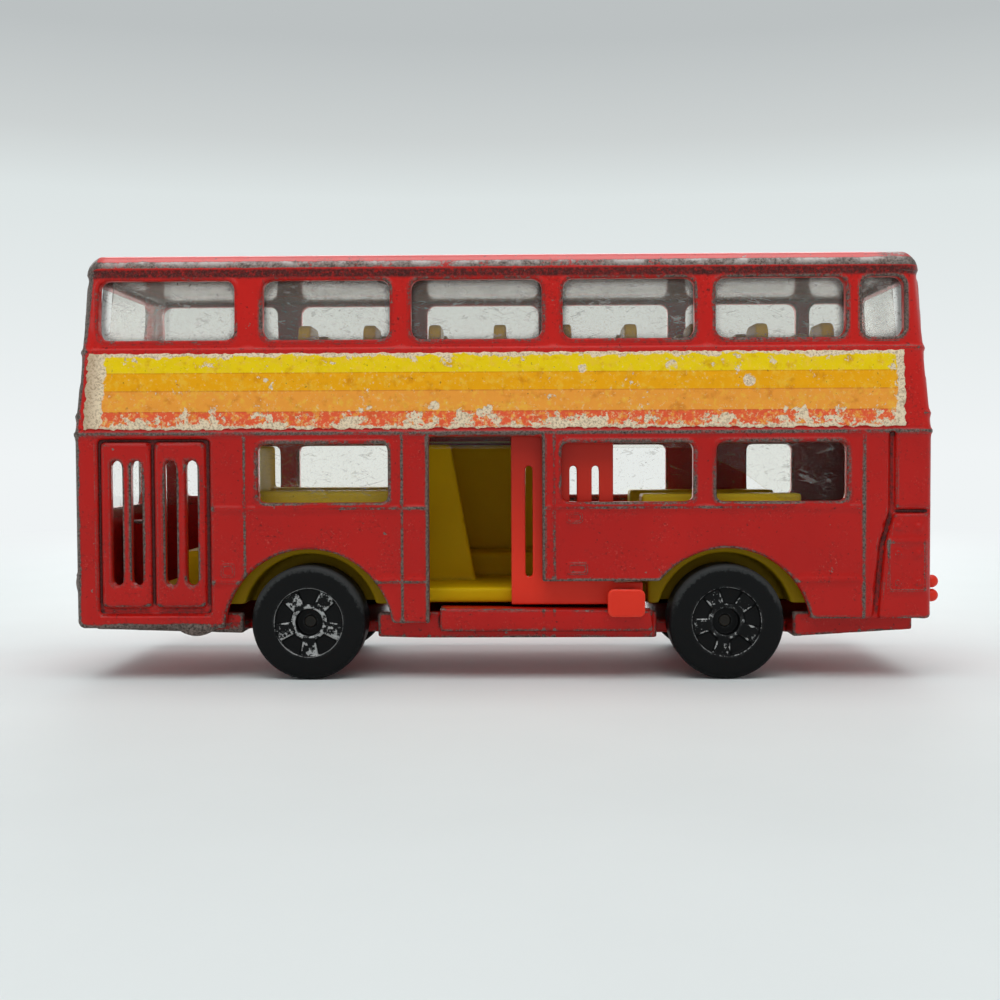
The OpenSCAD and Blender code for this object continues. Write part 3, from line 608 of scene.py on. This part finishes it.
def red_paint():
    """Enamel over zinc, rubbed to grey metal on edges, with chips and specks, darker in hollows, and with
    painted light: lighter above the deck line, glints, a highlight on the roof edge's bare zinc, and shade
    with soot under the gutter.
    """
    n = material_nodes("red_paint")
    _, _, z = n.split(n.place)
    edge = n.attribute("edge")
    patch = n.noise(3.5, 3)
    grain = n.noise(0.3, 6, 0.72)
    outward = n.ramp(edge, 0.0, 0.05)
    sharp = n.larger(n.ramp(n.turn(RUB_REACH), 0.003, 0.025), n.ramp(edge, 0.14, 0.26))
    sharp = n.times(sharp, outward)
    places, lines = worn_places(n)
    lines = n.times(lines, outward)
    upper = n.ramp(z, DECK_Z, DECK_Z + DECK_SOFT)
    spread = n.total((patch, 0.5), (grain, 0.5), (upper, -0.06))
    rub = n.total((spread, 1.0), (sharp, 0.3), (lines, 0.28), (places, 1.0))
    bare = n.ramp(rub, 0.74, 0.82)
    chips = n.ramp(n.total((n.noise(0.8, 4, 0.6), 1.0), (patch, 0.25)), 0.835, 0.86)
    bare = n.larger(bare, chips)
    halo = n.ramp(rub, 0.62, 0.76)
    speckle = n.noise(0.17, 4, 0.75)
    # Darker in hollows
    darkening = n.ramp(n.total((edge, -1.0), (grain, 0.25)), 0.24, 0.4)
    # Painted light: the enamel is lighter above the deck line, where light from above falls, over its random
    # tone
    tone_and_top_light = n.total((n.noise(8.0, 4), 0.8), (upper, 0.5))
    paint = n.mix(tone_and_top_light, *PAINT)
    scour = n.ramp(n.noise(2.2, 4, 0.6), 0.46, 0.64)
    dust = n.times(n.ramp(n.noise(0.3, 4, 0.7), 0.48, 0.66), scour)
    paint = n.tint(paint, dust, 0.45, DUST)
    specks = n.ramp(n.noise(0.3, 3, 0.6), 0.655, 0.7)
    paint = n.tint(paint, specks, 0.75, SPECK)
    # Painted glints: small light spots on the enamel
    glint = n.times(n.ramp(n.noise(0.16, 3, 0.7), 0.58, 0.7), scour)
    paint = n.tint(paint, glint, 0.34, GLINT)
    paint = n.tint(paint, halo, 0.4, RUBBED)
    soot_and_shade = n.mix(n.ramp(speckle, 0.46, 0.64), *SOOT_AND_SHADE)
    # Painted shade with soot in a band under the roof's gutter lip
    darkening = n.larger(darkening, n.times(n.band(z, *SOOT_AND_SHADE_Z), n.ramp(grain, 0.22, 0.54)))
    paint = n.tint(paint, darkening, 0.9, soot_and_shade)
    metal = n.mix(n.ramp(n.noise(0.2, 5, 0.75), 0.32, 0.68), *ZINC)
    # Painted highlight: brighter bare zinc on the roof's edge, where the metal catches light from above
    shine = n.times(n.ramp(z, *GUTTER_Z), n.ramp(n.noise(1.8, 5, 0.6), 0.42, 0.6))
    metal = n.tint(metal, shine, 0.85, ZINC_HIGHLIGHT)
    colour = n.mix(bare, paint, metal)
    smear = n.noise(1.6, 5, 0.6)
    rough = n.larger(n.scaled(smear, 0.22, 0.42), n.scaled(bare, 0.0, 0.5))
    peel = n.bump(n.noise(1.1, 4, 0.6), 0.25, 0.05)
    step = n.bump(n.minus(grain, bare), 0.5, 0.04, peel)
    metallic = n.scaled(bare, 0.0, 0.25)
    gloss = n.scaled(n.ramp(z, *ROOF_Z), 0.25, 0.9)
    inputs = {"Base Color": colour, "Roughness": rough, "Metallic": metallic, "Normal": step}
    return n.finish(n.principled({**inputs, "Specular IOR Level": gloss}))


def well_shade_and_seat_light(n, colour):
    """A moulding's colour, darker in the wheel wells with painted shade and lighter on the seats by the
    windows with painted light.
    """
    x, _, z = n.split(n.place)
    # Painted shade in the wheel wells
    for place in WELLS_X:
        offset = n.node("CombineXYZ", {0: n.minus(x, place), 1: n.minus(z, WELLS_Z)})
        distance = n.node("VectorMath", {0: offset.outputs[0]}, operation="LENGTH").outputs["Value"]
        colour = n.tint(colour, n.ramp(distance, *WELL_R), 0.6, WELL_SHADE)
    # Painted light on the seats by the lower windows
    seats = n.times(n.ramp(z, *SEATS_Z), n.ramp(z, DECK_Z, DECK_Z - SEATS_SOFT))
    seats = n.times(seats, n.inverse(n.band(x, *STAIR_X)))
    return n.tint(colour, seats, 0.6, SEAT_LIGHT)


def shaded(n, colour):
    """The door's colour, darker towards the top with painted shade, where the leaf runs behind the body's
    wall.
    """
    _, _, z = n.split(n.place)
    return n.tint(colour, n.ramp(z, *LEAF_Z), 0.5, LEAF_SHADE)


def plastic(name, dark, light, scuff, rough, gloss, metallic=0.0, painted_light=None):
    """Moulded plastic or plain metal with cloudy colour, scuffed edges and fine marks."""
    n = material_nodes(name)
    edge = n.attribute("edge")
    cloud = n.noise(6.0, 4)
    grain = n.noise(0.4, 5, 0.65)
    worn = n.ramp(n.total((edge, 1.0), (grain, 0.6)), 0.5, 0.95)
    # Darker in hollows
    darker = n.ramp(n.total((edge, -1.0), (grain, 0.2)), 0.15, 0.45)
    colour = n.mix(cloud, dark, light)
    colour = n.tint(colour, worn, 0.35, scuff)
    colour = n.tint(colour, darker, 0.4, HOLLOW_DARK)
    # Painted light and shade, from the function given
    if painted_light:
        colour = painted_light(n, colour)
    smooth = n.scaled(n.noise(1.2, 5, 0.6), rough - 0.08, rough + 0.14)
    marks = n.bump(n.noise(0.5, 4), 0.15, 0.04)
    inputs = {"Base Color": colour, "Roughness": smooth, "Normal": marks, "Metallic": metallic}
    return n.finish(n.principled({**inputs, "Specular IOR Level": gloss}))


def wheel_plastic(name, wear):
    """Black plastic with silver foil on the hub's spokes, rubbed away in places."""
    n = material_nodes(name)
    across, depth, up = n.split(n.node("Attribute", attribute_name="hub").outputs["Vector"])
    across_2 = n.times(across, across)
    radius = n.math("SQRT", n.node("Math", {0: up, 1: up, 2: across_2}, operation="MULTIPLY_ADD").outputs[0])
    edge = n.attribute("edge")
    grain = n.noise(0.32, 6, 0.72)
    patch = n.noise(0.9, 3)
    hub = n.times(n.ramp(radius, FOIL_R[0] - 0.05, FOIL_R[0]),
                 n.ramp(radius, FOIL_R[1], FOIL_R[1] - 0.05))
    top = n.ramp(depth, FOIL_DEPTH + 0.12, FOIL_DEPTH + 0.06)
    rim = n.ramp(edge, 0.14, 0.24)
    ring = n.ramp(radius, RING_R + 0.1, RING_R)
    left = n.total((grain, 0.6), (patch, 0.4), (rim, 0.1), (ring, -0.06))
    left = n.ramp(left, wear - 0.02, wear + 0.03)
    foil = n.times(n.times(hub, top), left)
    # Painted highlight: the tyre's shoulder is lighter on its upper half, where light from above falls,
    # besides the scuffed edges
    shoulder_highlight = n.times(n.ramp(radius, *SHOULDER_R), n.ramp(up, 0.0, 2.5))
    scuff = n.ramp(n.total((edge, 0.8), (grain, 0.7), (shoulder_highlight, 0.26)), 0.48, 0.74)
    black = n.mix(n.noise(3.0, 4), *BLACK)
    black = n.tint(black, scuff, 0.35, TYRE_SCUFF_AND_HIGHLIGHT)
    silver = n.mix(n.noise(0.25, 4, 0.7), *FOIL)
    colour = n.mix(foil, black, silver)
    smooth = n.scaled(foil, 0.46, 0.34)
    marks = n.bump(n.total((grain, 0.5), (foil, 0.5)), 0.3, 0.03)
    inputs = {"Base Color": colour, "Roughness": smooth, "Metallic": n.scaled(foil, 0, 0.4), "Normal": marks}
    return n.finish(n.principled({**inputs, "Specular IOR Level": WHEEL_GLOSS}))


def clear_plastic():
    """Clear glazing, scratched and milky, with dark flecks, and smudged and darker by the upper windows'
    frames with painted shade.
    """
    n = material_nodes("clear_plastic")
    cloud = n.noise(3.0, 5, 0.6)
    fleck = n.ramp(n.noise(0.17, 3, 0.7), 0.56, 0.68)
    hair = 0.0
    for angle in SCRATCH_ANGLES:
        streak = n.noise(0.7, 2, 0.5, n.drawn_out(angle, SCRATCH_SHARES))
        streak = n.ramp(n.absolute(n.minus(streak, 0.5)), 0.02, 0.006)
        hair = n.larger(hair, n.times(streak, n.ramp(n.noise(1.3, 3), 0.52, 0.6)))
    speck = n.ramp(n.noise(0.3, 3, 0.6), 0.69, 0.73)
    # Smudges and painted shade by the window frames, where the frames hide the pane from light
    shade = n.node("AmbientOcclusion", {"Distance": FRAME_REACH * MM}, samples=8).outputs["AO"]
    rim = n.ramp(n.total((shade, 1.0), (fleck, -0.15), (cloud, 0.2)), 0.95, 0.6)
    _, _, z = n.split(n.place)
    upper = n.ramp(z, DECK_Z, DECK_Z + DECK_SOFT)
    rim = n.times(rim, upper)
    haze = n.total((cloud, 0.08), (fleck, 0.14), (hair, 0.25), (speck, 0.45), (rim, 0.55), (upper, 0.12))
    outside = n.inverse(n.node("NewGeometry").outputs["Backfacing"])
    gloss = n.node("Fresnel", {"IOR": GLASS_IOR}).outputs[0]
    share = n.times(n.smaller(n.plus(haze, gloss), GLASS_LIMIT), outside)
    milk = n.mix(n.larger(speck, rim), HAZE, FRAME_DIRT_AND_SHADE)
    marks = n.bump(n.total((fleck, 0.6), (hair, 1.0)), 0.15, 0.03)
    solid = n.principled({"Base Color": milk, "Roughness": n.scaled(fleck, 0.1, 0.4), "Normal": marks})
    open_ = n.node("BsdfTransparent", {"Color": GLASS_TINT}).outputs[0]
    return n.finish(n.node("MixShader", {0: share, 1: open_, 2: solid}).outputs[0])


def label_ink(n, along, up, length, height):
    """Where print is left on the paper: not in its margins, and not where it is torn or blistered."""
    fray = n.noise(0.75, 6, 0.68)
    blot = n.noise(2.6, 4, 0.6)
    to_rear = n.minus(length, along)
    to_top = n.minus(height, up)
    inside = n.minus(along, PRINT_FRONT)
    for margin, place in ((PRINT_REAR, to_rear), (PRINT_LOW, up), (PRINT_HIGH, to_top)):
        inside = n.smaller(inside, n.minus(place, margin))
    rubbed = n.total((n.ramp(up, *LOW_RUB), 0.15), (n.ramp(to_top, *HIGH_RUB), 0.07),
                     (n.ramp(to_rear, *END_RUB), 0.06))
    torn = n.ramp(n.total((fray, 0.7), (blot, 0.8), (rubbed, 1.0)), 0.9, 0.92)
    blister = n.node("TexVoronoi", {"Vector": n.place, "Scale": 1 / BLISTER_PITCH}).outputs["Distance"]
    blister = n.ramp(n.total((blister, 1.0), (fray, 0.1)), BLISTER_SHARE + 0.01, BLISTER_SHARE)
    torn = n.larger(torn, n.times(blister, n.ramp(blot, 0.44, 0.5)))
    ink = n.ramp(n.total((inside, 1.0), (fray, 0.9), (n.noise(1.6, 3), 1.0)), 0.92, 1.0)
    return n.times(ink, n.inverse(torn))


def label_stripes(n, up, height):
    """The printed stripes with their dark edges, paled, stained and faded in places."""
    share = n.math("DIVIDE", up, height)
    colour = n.steps(share, list(zip((0.0, *STRIPE_SHARES), INKS)), "CONSTANT")
    for place in STRIPE_SHARES:
        colour = n.tint(colour, n.ramp(n.absolute(n.minus(share, place)), 0.012, 0.003), 0.35, INK_EDGE)
    colour = n.tint(colour, n.ramp(n.noise(0.6, 5, 0.68), 0.48, 0.68), 0.55, PALE_INK)
    colour = n.tint(colour, n.ramp(n.noise(1.3, 4, 0.6), 0.52, 0.74), 0.5, STAINED_INK)
    fade = n.total((n.noise(0.28, 5, 0.7), 1.0), (n.ramp(up, *LOW_RUB), 0.08))
    return n.tint(colour, n.ramp(fade, 0.58, 0.7), 0.7, FADED_INK)


def label_print(length, height):
    """Four stripes printed on paper, rubbed to bare fibres at the edges and most of all along the bottom."""
    n = material_nodes("label_paper")
    along, up, _ = n.split(n.node("Attribute", attribute_name="paper").outputs["Vector"])
    ink = label_ink(n, along, up, length, height)
    darker = n.ramp(n.noise(0.2, 5, 0.78), 0.46, 0.62)
    paper = n.tint(PAPER[0], darker, 0.65, PAPER[1])
    paper = n.tint(paper, n.ramp(along, *SOIL_FRONT), 0.5, SOILED_PAPER)
    colour = n.mix(ink, paper, label_stripes(n, up, height))
    darkening = n.ramp(n.noise(0.35, 4, 0.65), 0.65, 0.71)
    colour = n.tint(colour, darkening, 0.6, LABEL_GRIME)
    fibre = n.bump(n.total((n.noise(0.2, 5, 0.7), 0.5), (ink, 0.5)), 0.5, 0.05)
    inputs = {"Base Color": colour, "Roughness": n.scaled(ink, 0.8, 0.5), "Normal": fibre}
    return n.finish(n.principled({**inputs, "Specular IOR Level": LABEL_GLOSS}))


def soft_pieces():
    """Finish and material of every cast, moulded or turned piece, by node."""
    red = red_paint()
    yellow = plastic("yellow_plastic", **YELLOW, painted_light=well_shade_and_seat_light)
    orange = plastic("orange_plastic", **ORANGE, painted_light=shaded)
    front = wheel_plastic("front_wheel_plastic", FRONT_WEAR)
    rear = wheel_plastic("rear_wheel_plastic", REAR_WEAR)
    steel = plastic("axle_steel", **STEEL)
    clear = clear_plastic()
    return {
        "body_shell": (CAST, red), "baseplate": (CAST, red),
        "lower_deck": (MOULDED, yellow), "upper_deck": (MOULDED, yellow),
        "lower_glazing": (CLEAR, clear), "upper_glazing": (CLEAR, clear),
        "sliding_door": (SMALL, orange),
        "front_axle": (FINE, steel), "rear_axle": (FINE, steel),
        "front_left_wheel": (SMALL, front), "front_right_wheel": (SMALL, front),
        "rear_left_wheel": (SMALL, rear), "rear_right_wheel": (SMALL, rear),
        "rear_lamp_left": (FINE, orange), "rear_lamp_right": (FINE, orange),
    }


def dress(piece, node, material):
    """Gives a piece its material, and puts it in the place of its CAD node."""
    piece.data.materials.append(material)
    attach(piece, node_body[node])
    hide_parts(node)


def seen(n):
    """One for what the camera sees, straight, mirrored or through glass."""
    path = n.node("LightPath").outputs
    rays = n.plus(path["Is Glossy Ray"], path["Is Transmission Ray"])
    rays = n.plus(rays, path["Is Camera Ray"])
    return n.smaller(rays, 1.0)


def floor_stage():
    """Pale floor that runs into the background without a line."""
    corners = FLOOR_SIZE * np.array([(-1, -1, 0), (1, -1, 0), (1, 1, 0), (-1, 1, 0)])
    floor = mesh_object("floor", corners, [(0, 1, 2, 3)])
    n = material_nodes("floor")
    mottle = n.mix(n.noise(14.0, 4), *FLOOR)
    paper = n.principled({"Base Color": mottle, "Roughness": 0.7, "Specular IOR Level": 0.1})
    distance = n.node("VectorMath", {0: n.place}, operation="LENGTH").outputs["Value"]
    far = n.times(n.ramp(distance, *FLOOR_FADE), seen(n))
    glow = n.node("Emission", {"Color": HORIZON}).outputs[0]
    floor.data.materials.append(n.finish(n.node("MixShader", {0: far, 1: paper, 2: glow}).outputs[0]))


def light(name, place, aim, size, watts):
    """Soft square lamp, in millimetres."""
    lamp = bpy.data.lights.new(name, "AREA")
    lamp.size = size * MM
    lamp.energy = watts
    holder = bpy.data.objects.new(name, lamp)
    holder.location = Vector(place) * MM
    holder.rotation_euler = (Vector(aim) - Vector(place)).to_track_quat("-Z", "Y").to_euler()
    bpy.context.scene.collection.objects.link(holder)


def world_light():
    """Even pale light, and the background's soft fall to grey above the horizon."""
    n = Nodes(bpy.data.worlds.new("studio"))
    _, _, rise = n.split(n.node("TexCoord").outputs["Generated"])
    backdrop = n.node("Background", {"Color": n.steps(rise, SKY), "Strength": 1.0}).outputs[0]
    lamp = n.node("Background", {"Color": WORLD_TINT, "Strength": WORLD_LIGHT}).outputs[0]
    shader = n.node("MixShader", {0: seen(n), 1: lamp, 2: backdrop}).outputs[0]
    bpy.context.scene.world = n.finish(shader, "OutputWorld")


def camera():
    """Camera at the photograph's viewpoint."""
    data = bpy.data.cameras.new("camera")
    data.sensor_width = SENSOR_MM
    data.lens = SENSOR_MM * FOCAL_PX / PHOTO_PX
    data.clip_start = MM
    holder = bpy.data.objects.new("camera", data)
    holder.location = Vector(CAMERA_MM) * MM
    turn = (90 + CAMERA_TILT_DEG, CAMERA_ROLL_DEG, CAMERA_YAW_DEG)
    holder.rotation_euler = Euler([math.radians(a) for a in turn])
    bpy.context.scene.collection.objects.link(holder)
    bpy.context.scene.camera = holder


node_body = {node: body for body, nodes in frame["record"]["behaviour"]["bodies"].items() for node in nodes}

for node, (finish, material) in soft_pieces().items():
    piece = soften(node, **finish)
    if node.endswith("_wheel"):
        mark_hub(piece, node)
    dress(piece, node, material)

printed = label_print(*label_size("left_label"))
for seed, node in enumerate(("left_label", "right_label")):
    dress(label_sheet(node, LABEL_SEED + LABEL_SEED_STEP * seed), node, printed)

floor_stage()
world_light()
for name, lamp in LAMPS.items():
    light(name, **lamp)
camera()
bpy.context.scene.view_settings.view_transform = "Standard"
